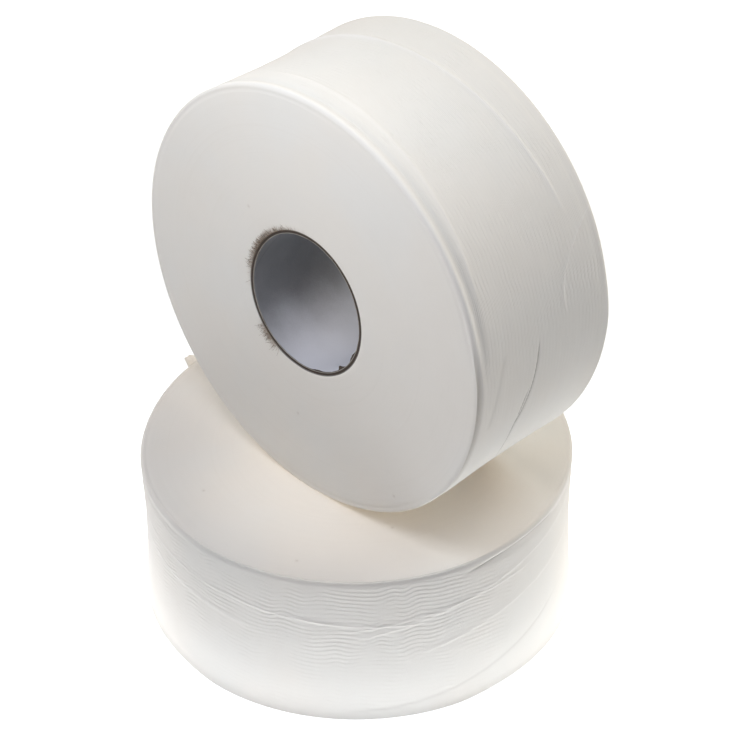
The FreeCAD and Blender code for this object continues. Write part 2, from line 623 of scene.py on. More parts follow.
# %% Rules for the rims
def crisp_share(angle, middle, half):
    """1 where the rim is sharp, 0 where it is a soft lip."""
    return 1.0 - ramp(turn_from(angle, middle).act("ABSOLUTE"), half - crisp_blend, half + crisp_blend)


def crisp_rim(given, angle):
    return crisp_share(angle, given["Crisp rim angle"], given["Crisp rim half"])


def crepe_share(angle, behind, patch_angle, patch_half, calm):
    """How strong the crepe is: weak in the smooth patch, and calmer towards the hidden end."""
    patch_away = turn_from(angle, patch_angle).act("ABSOLUTE")
    creped = ramp(patch_away, patch_half - 0.2, patch_half + 0.25) * 0.8 + 0.2
    return creped * (1.0 - ramp(behind, calm_start, calm_end) * calm)


def rim_fill(given, angle, radius, near_face):
    """How far the rounded rim is pushed out where the roll's edge is sharp."""
    left = (rounding - near_face).act("MAXIMUM", 0.0)
    missing = rounding - (rounding * rounding - left * left).act("SQRT")
    on_rim = ramp(radius, roll_radius - rounding - face_edge_band, roll_radius - rounding, False)
    return missing * on_rim * crisp_rim(given, angle) * crisp_fill


def edge_groove(given, angle, behind):
    """The dark groove straight under a sharp edge, where the outer turns slipped back."""
    groove = bell(behind, edge_groove_behind, edge_groove_width) * ramp(behind, 0.0, 0.5 * MM)
    return groove * crisp_rim(given, angle) * given["Edge groove"]


print("rim rules ready")

# %% [markdown]
# ## What moves the side
#
# How far the side stands out is a sum of small terms: the lip and the crease behind it, the waist, the
# waves of the crepe, the one-sheet step of the winding, soft dents and the long creases. As a function it
# can be read by the loose sheet end too, which then lies on the same relief.

# %% Relief of the side
def side_relief(tree, given, angle, behind, round_place, crease_values):
    """How far the side stands out from the plain radius, in metres."""
    seed, near_face = given["Seed"], from_end(behind)
    slow = noise(tree, round_place, 1.3, 2.0)
    shown_half = 1.0 - ramp(behind, 0.45 * roll_width, 0.55 * roll_width) * (1.0 - far_lip_share)
    soft_crease = bell(near_face, lip_crease_behind, lip_crease_width) * (slow * 0.9 + 0.85)
    lip_crease = soft_crease * (1.0 - crisp_rim(given, angle)) * shown_half
    share = (behind / roll_width - 0.5) * 2.0
    waist = 1.0 - share * share
    on_side = ramp(near_face, *rim_band)
    lip_swell = noise(tree, round_place, 4.0, 2.0) * (1.0 - on_side)
    waves = use_group(tree, crepe[MESH], Angle=angle, Behind=behind, Seed=seed)
    for label in ("pitch", "wander", "breaks"):
        feed(waves.inputs[label.title()], given["Crepe " + label])
    patch = given["Smooth patch angle"], given["Smooth patch half"]
    creped = crepe_share(angle, behind, *patch, given["Crepe calm"])
    wound = ((angle - given["Sheet end angle"]) / (2 * math.pi)).act("FRACT")
    relief = given["Lip crease"] * lip_crease * -1.0
    relief = relief - given["Waist"] * waist
    relief = relief + lip_swell * lip_swell_height
    relief = relief + Field(waves.outputs["Height"]) * given["Crepe height"] * on_side * creped
    relief = relief - given["Sheet step"] * wound
    dents = noise(tree, on_circle(tree, angle, 2.2, behind * 60.0, seed), 1.0, 3.0)
    relief = relief + dents * given["Dents"] * on_side
    for values, height in crease_values:
        line = use_group(tree, creases[MESH], Angle=angle, Behind=behind, **values)
        relief = relief + Field(line.outputs["Line"]) * height
    return relief


print("side relief ready")

# %% [markdown]
# ## What moves an end face
#
# An end face is the edges of some hundreds of turns. A few stand a little proud, the whole face swells
# and dips slowly, a faint crease runs along the soft part of the rim, and the face falls in at the core.

# %% Relief of an end face
def face_relief(tree, given, angle, radius, round_place):
    """How far an end face stands out, in metres: loose turns, a soft dish and the edge crease."""
    wobble = noise(tree, round_place, 1.0, 1.0)
    turns_place = on_circle(tree, angle, 0.5, radius * 260.0, 0.0, given["Seed"])
    turns = noise(tree, turns_place, 1.0, 3.0) * given["Loose turns"] * 2.0
    broad = noise(tree, on_circle(tree, angle, radius * 22.0, given["Seed"]), 1.0, 2.0) * face_swell_height
    edge_radius = roll_radius - rounding - 0.4 * MM
    edge = bell(radius, edge_radius, face_crease_width) * (wobble * 1.6 + 0.8)
    edge = edge * (1.0 - crisp_rim(given, angle))
    mouth_fall = bell(radius, core_radius + bore_gap, mouth_fall_width) * mouth_fall_depth
    return turns + broad - edge * face_crease_depth - mouth_fall


print("end face relief ready")

# %% [markdown]
# ## The whole roll
#
# The skin's points are moved out by the side's relief and up by the end faces' relief. Two clamps come
# last, because nothing may undo them: the flat that the upper roll stands on and the level of the ground.

# %% The wound roll tree
def outwards(behind):
    """1 on the shown half and -1 on the hidden half, so that relief on an end face stands out."""
    return ramp(behind, roll_width / 2 + 1 * MM, roll_width / 2) * 2.0 - 1.0


def wound_roll_tree(name, crease_values, swellings):
    tree, start, end = new_tree(name, MESH, roll_inputs, mesh_output)
    given = numbers_of(start)
    skin = closed_skin(tree, section_strips(tree))
    position = position_of(tree)
    angle, radius, behind, around = roll_place(tree, position)
    around_x, around_y, _ = parts_of(tree, around)
    round_place = vector_of(tree, around_x + given["Seed"], around_y, 0.0)
    near_face = from_end(behind)

    outer_turns = ramp(radius, *outer_band)
    relief = side_relief(tree, given, angle, behind, round_place, crease_values)
    out = relief * (ramp(near_face, 0.0, 2.5 * MM) * outer_turns)
    out = out - edge_groove(given, angle, behind) * outer_turns
    oval = use_group(tree, mouth[MESH], Angle=angle, Radius=radius, Share=given["Oval share"])
    out = out + Field(oval.outputs["Out"]) + rim_fill(given, angle, radius, near_face)
    out = out + swelling(angle, behind, swellings) * ramp(radius, 0.45 * roll_radius, roll_radius)

    on_face = 1.0 - ramp(near_face, 0.0, 1.5 * MM)
    up = face_relief(tree, given, angle, radius, round_place) * on_face * outwards(behind)

    new_x = around_x * (radius + out)
    new_y = (around_y * (radius + out)).act("MAXIMUM", given["Flat level"] * -1.0)
    _, _, z = parts_of(tree, position)
    new_z = (z + up).act("MAXIMUM", 0.0)
    finish_tree(tree, start, end, move_to(tree, skin, vector_of(tree, new_x, new_y, new_z)))
    return tree


def finish_tree(tree, start, end, geometry):
    """Puts the shape in its place, realizes it, shades it smooth and gives it its finish."""
    steps = ("Transform", "RealizeInstances", "SetShadeSmooth", "SetMaterial")
    for step in steps:
        node = add(tree, "GeometryNode" + step, Geometry=geometry)
        geometry = node.outputs["Geometry"]
        for given, label in (("Place", "Translation"), ("Turn", "Rotation"), ("Finish", "Material")):
            if label in node.inputs:
                feed(node.inputs[label], start.outputs[given])
    feed(end.inputs[0], geometry)


print("roll tree ready")

# %% [markdown]
# ## Growing a mesh from a tree
#
# A tree is run once on an empty object, and its result is kept as a plain mesh. The modifier's values
# are set by each input's identifier, before the object is first evaluated.

# %% Run a tree and keep its mesh
def grow(name, tree, body, slot, node=None, **values):
    carrier = bpy.data.objects.new(name, bpy.data.meshes.new(name + "_start"))
    scene.collection.objects.link(carrier)
    modifier = carrier.modifiers.new("Build", "NODES")
    modifier.node_group = tree
    identifiers = {
        item.name: item.identifier for item in tree.interface.items_tree if item.in_out == "INPUT"
    }
    for label, value in values.items():
        modifier[identifiers[label.replace("_", " ")]] = value
    depsgraph = bpy.context.evaluated_depsgraph_get()
    mesh = bpy.data.meshes.new_from_object(carrier.evaluated_get(depsgraph), depsgraph=depsgraph)
    carrier.modifiers.remove(modifier)
    carrier.data = mesh
    mesh.name = name
    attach(carrier, body)
    if node:
        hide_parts(node)
    print(name, len(mesh.polygons), "faces")
    return carrier


print("ready to grow meshes")

# %% [markdown]
# ## The roll's own coordinates in a finish
#
# A finish reads Object coordinates, and both rolls lie in one shared frame. A Mapping node set to
# Texture undoes the roll's place and turn, so a finish sees the roll as if it stood on its hidden end
# at the origin. The two values here place the meshes and their finishes alike.

# %% Places of the two rolls
upright_turn = (0.0, 0.0, 0.0)
level_turn = (math.pi / 2, 0.0, 0.0)
lower_place = (0.0, 0.0, 0.0)
upper_place = (upper_axis.x, upper_axis.y + roll_width / 2, upper_axis.z)


def new_material(name, roughness):
    material = bpy.data.materials.new(name)
    material.use_nodes = True
    tree = material.node_tree
    shader = tree.nodes["Principled BSDF"]
    shader.inputs["Roughness"].default_value = roughness
    return material, tree, shader


def own_coordinates(tree, place, turn):
    point = tree.nodes.new("ShaderNodeTexCoord").outputs["Object"]
    mapping = add(tree, "ShaderNodeMapping", Vector=point, Location=place, Rotation=turn)
    mapping.vector_type = "TEXTURE"
    return mapping.outputs["Vector"]


def mix_colour(tree, share, first, second):
    """Mixes two colours, each a plain one of three numbers or a socket."""
    node = tree.nodes.new("ShaderNodeMix")
    node.data_type = "RGBA"
    feed(node.inputs["Factor"], share)
    for entry, value in ((node.inputs[6], first), (node.inputs[7], second)):
        feed(entry, (*value, 1.0) if isinstance(value, tuple) else value)
    return node.outputs[2]


def layered(tree, colour, *layers):
    """Lays colours over one another. Each layer is a share from 0 to 1 and a colour."""
    for share, tone in layers:
        colour = mix_colour(tree, share, colour, tone)
    return colour


def bump(tree, shader, height, distance):
    node = add(tree, "ShaderNodeBump", Height=height, Distance=distance)
    feed(shader.inputs["Normal"], node.outputs["Normal"])


print("upper roll stands at", [round(value, 4) for value in upper_axis])

# %% [markdown]
# ## Soft fibres
#
# Seen close, tissue is a felt of short fibres with cloudy patches where it is thicker. The group mixes
# three sizes of noise into one height for bump and one cloud mask for colour.

# %% Fibre group
def fibre_group():
    inputs = [("Point", VECTOR, None)] + number_inputs(Fibre_size=1.0 * MM)
    tree, start, end = new_tree("Soft fibres", FINISH, inputs, [("Height", NUMBER), ("Cloud", NUMBER)])
    size = Field(start.outputs["Fibre size"])
    point = start.outputs["Point"]
    fine = noise(tree, point, 1.0 / size, 4.0)
    coarse = noise(tree, point, 0.22 / size, 3.0)
    cloud = noise(tree, point, 0.035 / size, 3.0)
    feed(end.inputs["Height"], fine * 0.6 + coarse * 0.5)
    feed(end.inputs["Cloud"], cloud + fine * 0.25)
    return tree


fibres = fibre_group()


def soft_fibres(tree, point, size):
    """The felt's height for bump and its clouds for colour."""
    node = use_group(tree, fibres, Point=point, Fibre_size=size)
    return Field(node.outputs["Height"]), Field(node.outputs["Cloud"])


print("fibre group built")

# %% [markdown]
# ## Specks
#
# Clean tissue still holds a few dark flecks of recycled fibre. The group gives a mask for a small soft
# spot at one place; each finish uses it a few times, and it is cheap.

# %% Speck group
def speck_group():
    inputs = [("Point", VECTOR, None), ("Spot", VECTOR, None)] + number_inputs(Size=0.8 * MM)
    tree, start, end = new_tree("Speck", FINISH, inputs, [("Mask", NUMBER)])
    gap = tree.nodes.new("ShaderNodeVectorMath")
    gap.operation = "DISTANCE"
    feed(gap.inputs[0], start.outputs["Point"])
    feed(gap.inputs[1], start.outputs["Spot"])
    feed(end.inputs["Mask"], bell(Field(gap.outputs["Value"]), 0.0, Field(start.outputs["Size"])))
    return tree


speck = speck_group()


def on_shown_face(degrees, distance):
    """A place on the shown end face from an angle and a distance in mm."""
    angle = math.radians(degrees)
    return (math.cos(angle) * distance * MM, math.sin(angle) * distance * MM, roll_width)


upper_specks = [on_shown_face(-96, 69.5), on_shown_face(-55, 104.4), on_shown_face(133, 54.7)]
lower_specks = [on_shown_face(-62, 101.0), on_shown_face(-108, 88.0), on_shown_face(-31, 74.0)]
print(len(upper_specks + lower_specks), "specks placed")

# %% [markdown]
# ## The tissue's finish
#
# The paper is a warm white that has no gloss at all. Its tones are kept here, and so is the relief that
# is too fine for the mesh: the fine crepe and the core of each crease. A raised crease also gets a painted
# highlight along it and a cut one painted shade, and the rim gets a painted highlight on its soft lip,
# painted shade in the crease behind the lip and painted shade in the groove under a sharp edge.

# %% Tissue tones and fine relief
tissue_cream = (0.936, 0.903, 0.848)
tissue_white = (0.936, 0.912, 0.868)
tissue_shade = (0.876, 0.842, 0.785)
tissue_cool = (0.910, 0.907, 0.880)
# Painted highlight on the soft lip and painted shade in the crease behind it.
lip_painted_highlight = (0.985, 0.97, 0.935)
lip_crease_painted_shade = (0.74, 0.735, 0.705)
# Painted shade in the groove under a sharp rim.
groove_painted_shade = (0.55, 0.525, 0.48)
# Painted highlight along raised creases and painted shade in cut ones.
crease_painted_highlight = (0.985, 0.965, 0.93)
crease_painted_shade = (0.36, 0.34, 0.31)
scorch_brown = (0.33, 0.245, 0.175)
edge_brown = (0.050, 0.036, 0.028)
lip_highlight_bell = (2.4 * MM, 1.7 * MM)
lip_shade_bell = (6.6 * MM, 2.2 * MM)
groove_shade_bell = (edge_groove_behind, 1.3 * MM)
fine_crepe = {"Pitch": 0.9 * MM, "Wander": 0.6 * MM, "Waves_round_the_roll": 31.0}
fine_share = 0.3
fibre_share = 0.35
turns_share = 0.6
crease_core = 0.6
crease_bump = 4.0 / MM
shade_per_depth = 2.0 / MM
highlight_per_height = 3.6 / MM
speck_share = 0.2
tissue_bump = 0.12 * MM


def tissue_height(tree, angle, behind, creped, seed, waves_of, crease_values):
    """The height of crepe and creases for bump, and where creases get painted shade and painted highlight.
    """
    wave_share, breaks, _, pitch, wander = waves_of
    here = {"Angle": angle, "Behind": behind}
    coarse = use_group(tree, crepe[FINISH], Seed=seed, Breaks=breaks, Pitch=pitch, Wander=wander, **here)
    fine = use_group(tree, crepe[FINISH], Seed=seed + 3.0, **fine_crepe, **here)
    wave_height = Field(coarse.outputs["Height"]) * creped * wave_share
    height = Field(fine.outputs["Height"]) * creped * fine_share + wave_height
    painted_shade_line = painted_highlight_line = angle * 0.0
    for values, depth in crease_values:
        thin = dict(values, Width=values["Width"] * crease_core)
        line = Field(use_group(tree, creases[FINISH], **here, **thin).outputs["Line"])
        height = height + line * (depth * crease_bump)
        if depth < 0:
            painted_shade_line = painted_shade_line.act("MAXIMUM", line * (-depth * shade_per_depth))
        else:
            painted_highlight_line = painted_highlight_line.act("MAXIMUM", line * (depth * highlight_per_height))
    return height, painted_shade_line, painted_highlight_line


print("tissue relief ready")

# %% [markdown]
# ## Saw dust
#
# Round the mouth of the upper roll the saw that cut the core has left brown dust, streaked away from
# the board. Noise stretched outwards gives the streaks, and an arc keeps them where the saw left them.

# %% Saw dust
def scorched(tree, colour, angle, radius, own_radius, behind, smudges):
    """Brown saw dust streaked away from the board, on the arcs where the saw left it."""
    for middle, half_width, reach in smudges:
        away = turn_from(angle, math.radians(middle)).act("ABSOLUTE")
        arc = 1.0 - ramp(away, 0.2 * half_width, half_width)
        streak_place = vector_of(tree, angle * 46.0, radius * 160.0, behind * 200.0)
        streak = ramp(noise(tree, streak_place, 1.0, 4.0), -0.22, 0.22)
        near_core = 1.0 - ramp(own_radius, core_radius, core_radius + reach * (streak * 0.45 + 0.55))
        colour = mix_colour(tree, arc * near_core * (streak * 0.5 + 0.3), colour, scorch_brown)
    return colour


print("saw dust ready")

# %% [markdown]
# ## The paper in layers of colour
#
# The colour is built like glazes: a plain white first, then clouds, the turns' edges, painted shade and
# painted highlight along the creases, painted highlight and shade on the lip, painted shade in the groove
# under a sharp rim, and the stain at the board with painted shade of the gap there, each laid over the
# last by its own share.

# %% Tissue finish
def tissue(name, place, turn, crease_values, seed, waves_of, patch, crisp, smudges, specks):
    material, tree, shader = new_material(name, 0.95)
    point = own_coordinates(tree, place, turn)
    angle, radius, behind, _ = roll_place(tree, point)
    near_face = from_end(behind)
    on_side = ramp(near_face, 1.0 * MM, 6.0 * MM)
    on_rim = ramp(radius, roll_radius - 3.2 * MM, roll_radius - 1.5 * MM)
    fibre_height, cloud = soft_fibres(tree, point, 0.9 * MM)
    creped = on_side * crepe_share(angle, behind, *patch, waves_of[2])
    relief, painted_shade_line, painted_highlight_line = tissue_height(tree, angle, behind, creped, seed, waves_of, crease_values)
    turns = noise(tree, on_circle(tree, angle, 0.6, radius * 900.0, 0.0, seed), 1.0, 3.0) * (1.0 - on_side)

    crisp_angle, crisp_half, groove_shade_share, lip_paint_share = crisp
    crisp_here = crisp_share(angle, crisp_angle, crisp_half) * on_rim
    lip = (on_rim - crisp_here) * lip_paint_share
    oval = use_group(tree, mouth[FINISH], Angle=angle, Radius=radius)
    own_radius = radius - Field(oval.outputs["Out"])
    # A brown stain on the paper at the board, with painted shade of the gap between paper and core.
    stain_and_gap_shade = 1.0 - ramp(own_radius + cloud * (0.5 * MM), core_radius + 0.25 * MM, core_radius + 0.8 * MM)
    colour = mix_colour(tree, ramp(near_face, 0.1 * MM, 1.2 * MM), tissue_cream, tissue_white)
    colour = layered(
        tree,
        colour,
        (ramp(cloud, -0.1, 0.5) * 0.35, tissue_shade),
        (ramp(noise(tree, point, 16.0), -0.15, 0.2) * 0.6, tissue_cool),
        (ramp(turns, 0.05, 0.3) * 0.25, tissue_shade),
        # Painted shade in cut creases and painted highlight along raised ones.
        (painted_shade_line * 0.65, crease_painted_shade),
        (painted_highlight_line, crease_painted_highlight),
        # Painted highlight on the soft lip and painted shade in the crease behind it.
        (bell(behind, *lip_highlight_bell) * lip * 0.9, lip_painted_highlight),
        (bell(behind, *lip_shade_bell) * lip * 0.3, lip_crease_painted_shade),
        # Painted shade in the groove under the sharp rim.
        (bell(behind, *groove_shade_bell) * crisp_here * groove_shade_share, groove_painted_shade),
        (stain_and_gap_shade * 0.85, edge_brown),
    )
    colour = scorched(tree, colour, angle, radius, own_radius, behind, smudges)
    for spot in specks:
        mark = use_group(tree, speck, Point=point, Spot=spot)
        colour = mix_colour(tree, Field(mark.outputs["Mask"]) * speck_share, colour, scorch_brown)
    feed(shader.inputs["Base Color"], colour)
    bump(tree, shader, fibre_height * fibre_share + relief + turns * turns_share, tissue_bump)
    return material


print("tissue finish ready")

# %% [markdown]
# ## One finish, two rolls
#
# The rolls differ in what they went through. The upper one has fine straight crepe, a sharp rim low on
# its shown side and saw marks round its mouth. The lower one has broad wavy crepe that dies away towards
# its foot. Each roll's patch, sharp rim and waves are kept in named values, because the mesh needs the
# same ones.

# %% Both rolls' tissue
upper_seed, lower_seed = 4.0, 11.0
upper_patch = (math.radians(-26), math.radians(34))
lower_patch = (math.radians(66), math.radians(70))
# The last two numbers are how much painted shade the groove under the sharp rim gets and how much painted
# highlight and shade the soft lip gets.
upper_crisp = (math.radians(-16), math.radians(24), 0.6, 1.0)
lower_crisp = (math.radians(-52), math.radians(42), 0.14, 0.2)
upper_waves = (0.45, 0.75, 0.0, 2.3 * MM, 0.5 * MM)
lower_waves = (0.6, 0.12, 0.7, 2.7 * MM, 1.5 * MM)
upper_smudges = [(138, math.radians(62), 4.5 * MM), (-131, math.radians(16), 5.5 * MM)]
upper_tissue = tissue(
    "upper tissue", upper_place, level_turn, upper_creases, upper_seed, upper_waves,
    upper_patch, upper_crisp, upper_smudges, upper_specks,
)
lower_tissue = tissue(
    "lower tissue", lower_place, upright_turn, lower_creases, lower_seed, lower_waves,
    lower_patch, lower_crisp, [], lower_specks,
)
print("tissue finishes ready")

# %% [markdown]
# ## The two rolls' paper
#
# Both rolls grow from the same kind of tree with their own creases, swellings and values, and take the
# place of the plain solids. The values that a roll shares with its loose sheet end are kept together.

# %% Grow the two rolls' paper
def paper_values(sheet_end, crepe_height, waves, patch, place, turn, finish, seed):
    """What a roll's paper and its loose sheet end have in common."""
    _, breaks, calm, pitch, wander = waves
    return dict(
        Sheet_end_angle=math.radians(sheet_end), Crepe_height=crepe_height, Crepe_breaks=breaks,
        Crepe_calm=calm, Crepe_pitch=pitch, Crepe_wander=wander, Smooth_patch_angle=patch[0],
        Smooth_patch_half=patch[1], Place=place, Turn=turn, Finish=finish, Seed=seed,
    )


upper_values = paper_values(
    205, 0.026 * MM, upper_waves, upper_patch, upper_place, level_turn, upper_tissue, upper_seed
)
lower_values = paper_values(
    187, 0.046 * MM, lower_waves, lower_patch, lower_place, upright_turn, lower_tissue, lower_seed
)
upper_tree = wound_roll_tree("Upper wound roll", upper_creases, upper_swellings)
lower_tree = wound_roll_tree("Lower wound roll", lower_creases, lower_swellings)
grow(
    "upper_roll_turns", upper_tree, "root", "tissue", "upper_roll_paper",
    Crisp_rim_angle=upper_crisp[0], Crisp_rim_half=upper_crisp[1],
    Flat_level=flat_level, Lip_crease=1.0 * MM, **upper_values,
)
lower_roll = grow(
    "lower_roll_turns", lower_tree, "root", "tissue", "lower_roll_paper",
    Crisp_rim_angle=lower_crisp[0], Crisp_rim_half=lower_crisp[1],
    Lip_crease=0.6 * MM, Edge_groove=0.6 * MM, Oval_share=0.4, **lower_values,
)

# %% [markdown]
# ## The end of the sheet
#
# Each roll ends in one perforated edge that lies across its side. Both ends are turned away from the
# photograph, but the rolls are seen from all round. The flap reads the same relief rule as the side
# under it, so it lies on the crepe and the lips, lifts a little at its torn edge and has one tooth for
# each bridge of the perforation. A Solidify modifier gives it paper's thickness.

# %% Sheet end tree
sheet_end_arc = math.radians(16)
sheet_thickness = 0.12 * MM
sheet_end_inputs = roll_inputs + number_inputs(
    Edge_lift=0.5 * MM, Tooth_pitch=2.6 * MM, Tooth_depth=0.7 * MM
)


def sheet_end_tree(name, crease_values, swellings):
    tree, start, end = new_tree(name, MESH, sheet_end_inputs, mesh_output)
    given = numbers_of(start)
    grid, share, along = flat_grid(tree, 22, 180)
    behind = along * (roll_width - 2 * rounding) + rounding
    tooth = (behind * (2 * math.pi) / given["Tooth pitch"]).act("COSINE") * given["Tooth depth"]
    drift = noise(tree, vector_of(tree, given["Seed"], behind * 30.0, 0.0), 1.0, 1.0) * (3.0 * MM)
    reach = (tooth + drift) / roll_radius * ramp(share, 0.8, 1.0)
    angle = given["Sheet end angle"] + (1.0 - share) * sheet_end_arc - reach
    round_place = on_circle(tree, angle, 1.0, 0.0, given["Seed"])
    out = side_relief(tree, given, angle, behind, round_place, crease_values)
    out = out + swelling(angle, behind, swellings)
    lift = ramp(share, 0.5, 1.0, False)
    out = out + lift * lift * given["Edge lift"] * (drift / MM * 0.3 + 1.0)
    out = out + ramp(share, 0.0, 0.4) * (0.22 * MM)
    spot = on_circle(tree, angle, out + roll_radius - 0.05 * MM, roll_width - behind)
    finish_tree(tree, start, end, move_to(tree, grid, spot))
    return tree


def thicken(piece, thickness):
    solid = piece.modifiers.new("Thickness", "SOLIDIFY")
    solid.thickness = thickness
    solid.offset = -1.0


print("sheet end tree ready")

# %% [markdown]
# ## Both sheet ends
#
# A sheet end gets its roll's creases, swellings and shared values, or it would float over the creases or
# sink into them.

# %% Lay both sheet ends
sheet_ends = []
for name, crease_values, swellings, values in (
    ("upper", upper_creases, upper_swellings, upper_values),
    ("lower", lower_creases, lower_swellings, lower_values),
):
    tree = sheet_end_tree(name.title() + " sheet end", crease_values, swellings)
    sheet_ends.append(grow(name + "_sheet_end", tree, "root", "tissue", **values))
    thicken(sheet_ends[-1], sheet_thickness)
lower_sheet = sheet_ends[1]

# %% [markdown]
# ## The loose corner
#
# At the far left, where the lower roll's rim goes behind the upper roll, one corner of its outer sheet
# stands up over the rim and curls outwards. It is a small tapering flap, so it is built point by point.

# %% Loose corner of the lower roll
corner_angle = math.radians(185)
corner_half_width = 4.5 * MM
corner_root = 4.0 * MM
corner_rise = 4.6 * MM
corner_thickness = 0.45 * MM
rim_swell = 4.4 * MM
corner_steps_across, corner_steps_up = 12, 14


def corner_point(across, up):
    """A place on the flap: across runs from -1 to 1, up from 0 at the root to 1 at the tip."""
    taper = (1.0 - up * up) ** 0.5 * 0.75 + 0.25
    sideways = across * corner_half_width * taper + 2.5 * MM * up * up
    angle = corner_angle + sideways / roll_radius
    curl = 2.4 * MM * up ** 2.2 + 0.5 * MM * across * across * up
    radius = roll_radius + rim_swell - 0.9 * MM + curl + 0.25 * MM * math.sin(5 * across + 2 * up)
    height = roll_width - corner_root + (corner_root + corner_rise) * (up - 0.12 * up ** 3)
    return Vector((math.cos(angle) * radius, math.sin(angle) * radius, height))


corner_points = [
    corner_point(2 * column / corner_steps_across - 1, row / corner_steps_up)
    for row in range(corner_steps_up + 1)
    for column in range(corner_steps_across + 1)
]
row_length = corner_steps_across + 1
corner_faces = [
    (first, first + 1, first + 1 + row_length, first + row_length)
    for row in range(corner_steps_up)
    for first in range(row * row_length, row * row_length + corner_steps_across)
]
corner_mesh = bpy.data.meshes.new("loose_corner")
corner_mesh.from_pydata(corner_points, [], corner_faces)
corner_mesh.materials.append(lower_tissue)
corner_mesh.shade_smooth()
loose_corner = bpy.data.objects.new("loose_corner", corner_mesh)
scene.collection.objects.link(loose_corner)
thicken(loose_corner, corner_thickness)
smoother = loose_corner.modifiers.new("Smooth", "SUBSURF")
smoother.levels = smoother.render_levels = 1
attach(loose_corner, "root")
print("loose corner", len(corner_faces), "faces")

# %% [markdown]
# ## The board core
#
# The core is a spiral tube of grey board. Its cut ends are dark and a little ragged, and at the bottom
# of the shown mouth a few chips are torn inwards. The tree turns a thin tube section, ovals it like
# the paper, and then pulls the rims about with noise. The chips are bumps at chosen angles.

# %% Board tube tree
chip_places = [(-78, 5.0, 0.9), (-62, 9.0, 0.5), (-47, 3.5, 1.5), (-27, 5.0, 1.3), (150, 9.0, 0.3)]

tube_inputs = placing_inputs + number_inputs(Ragged=0.25 * MM, Chip_share=1.0, Oval_share=1.0, Seed=0.0)


def tube_strips(tree):
    inner = core_radius - core_wall
    low = core_recess
    high = core_recess + core_length
    return [
        strip(tree, 6, straight(between(inner, core_radius), fixed(low))),
        strip(tree, 12, straight(fixed(core_radius), between(low, high))),
        strip(tree, 6, straight(between(core_radius, inner), fixed(high))),
        strip(tree, 48, straight(fixed(inner), between(high, low))),
    ]


def board_tube_tree():
    tree, start, end = new_tree("Board tube", MESH, tube_inputs, mesh_output)
    given = numbers_of(start)
    skin = closed_skin(tree, tube_strips(tree))
    position = position_of(tree)
    angle, radius, behind, around = roll_place(tree, position)
    around_x, around_y, _ = parts_of(tree, around)
    rim_place = vector_of(tree, around_x * 9.0 + given["Seed"], around_y * 9.0, radius * 900.0)
    ragged = noise(tree, rim_place, 1.0, 5.0) * 2.0
    near_end = from_end(behind)
    at_end = 1.0 - ramp(near_end, core_recess, core_recess + 2.2 * MM)
    inner_share = ramp(core_radius - radius, 0.1 * core_wall, core_wall)
    chips = sum(
        bell(turn_from(angle, math.radians(middle)), 0.0, math.radians(half_width)) * (size * MM)
        for middle, half_width, size in chip_places
    )
    shown_end = 1.0 - ramp(behind, core_recess, core_recess + 1.6 * MM)
    chips = chips * given["Chip share"] * shown_end * inner_share * (ragged * 1.2 + 0.9)
    oval = use_group(tree, mouth[MESH], Angle=angle, Share=given["Oval share"])
    inwards = chips + given["Ragged"] * ragged * at_end * inner_share
    out = Field(oval.outputs["Out"]) - inwards.act("MAXIMUM", -0.4 * MM)
    up = (ragged * given["Ragged"] - 0.1 * MM) * at_end * outwards(behind)
    _, _, z = parts_of(tree, position)
    spot = vector_of(tree, around_x * (radius + out), around_y * (radius + out), z + up)
    finish_tree(tree, start, end, move_to(tree, skin, spot))
    return tree


print(len(chip_places), "torn chips")

# %% [markdown]
# ## Grey board
#
# The board is made from waste paper: a cool grey with a mottle and a spiral seam. Its cut ends are
# brown and dark, with a thin painted highlight along their inner rim. Inside the upper tube the wall is
# painted paler towards its bottom, where light falls in: painted light.

# %% Board finish
board_grey = (0.195, 0.201, 0.216)
board_light = (0.238, 0.246, 0.264)
# Painted light: the pale tone laid on the lower inner wall of the upper tube.
board_painted_light = (0.68, 0.705, 0.78)
seam_dark = (0.10, 0.10, 0.105)
edge_tan = (0.13, 0.092, 0.066)
# Painted highlight for the inner rim of the cut ends.
cut_rim_painted_highlight = (0.46, 0.43, 0.39)
painted_light_angle = math.radians(-72)
seam_pitch = 95.0 * MM
ply_pitch = 0.45 * MM
board_bump = 0.1 * MM


def board(name, place, turn, oval_share, painted_light_share):
    material, tree, shader = new_material(name, 0.75)
    point = own_coordinates(tree, place, turn)
    angle, radius, behind, _ = roll_place(tree, point)
    oval = use_group(tree, mouth[FINISH], Angle=angle, Share=oval_share)
    depth = core_radius - radius + Field(oval.outputs["Out"])
    fibre_height, cloud = soft_fibres(tree, point, 0.7 * MM)
    turned = behind / seam_pitch + angle / (2 * math.pi)
    seam = bell(turned.act("FRACT"), 0.5, 0.006)
    # Painted light: the inner wall is painted paler towards its bottom, where light falls into the tube.
    painted_bottom_light = ramp((angle - painted_light_angle).act("COSINE") + cloud * 0.3, 0.05, 1.0) * painted_light_share
    cut_place = from_end(behind) + cloud * (0.4 * MM)
    cut = 1.0 - ramp(cut_place, core_recess + 0.25 * MM, core_recess + 0.7 * MM)
    plies = (depth * (2 * math.pi / ply_pitch)).act("SINE") * 0.5 + 0.5
    edge = mix_colour(tree, plies * 0.35, edge_brown, edge_tan)
    # A thin painted highlight along the inner rim of the cut end.
    cut_rim_highlight = bell(depth + cloud * (0.15 * MM), core_wall - 0.12 * MM, 0.17 * MM)
    edge = mix_colour(tree, cut_rim_highlight, edge, cut_rim_painted_highlight)
    colour = mix_colour(tree, ramp(cloud, -0.25, 0.35), board_grey, board_light)
    colour = layered(tree, colour, (painted_bottom_light, board_painted_light), (seam * 0.25, seam_dark), (cut, edge))
    feed(shader.inputs["Base Color"], colour)
    bump(tree, shader, fibre_height - seam * 0.8, board_bump)
    return material


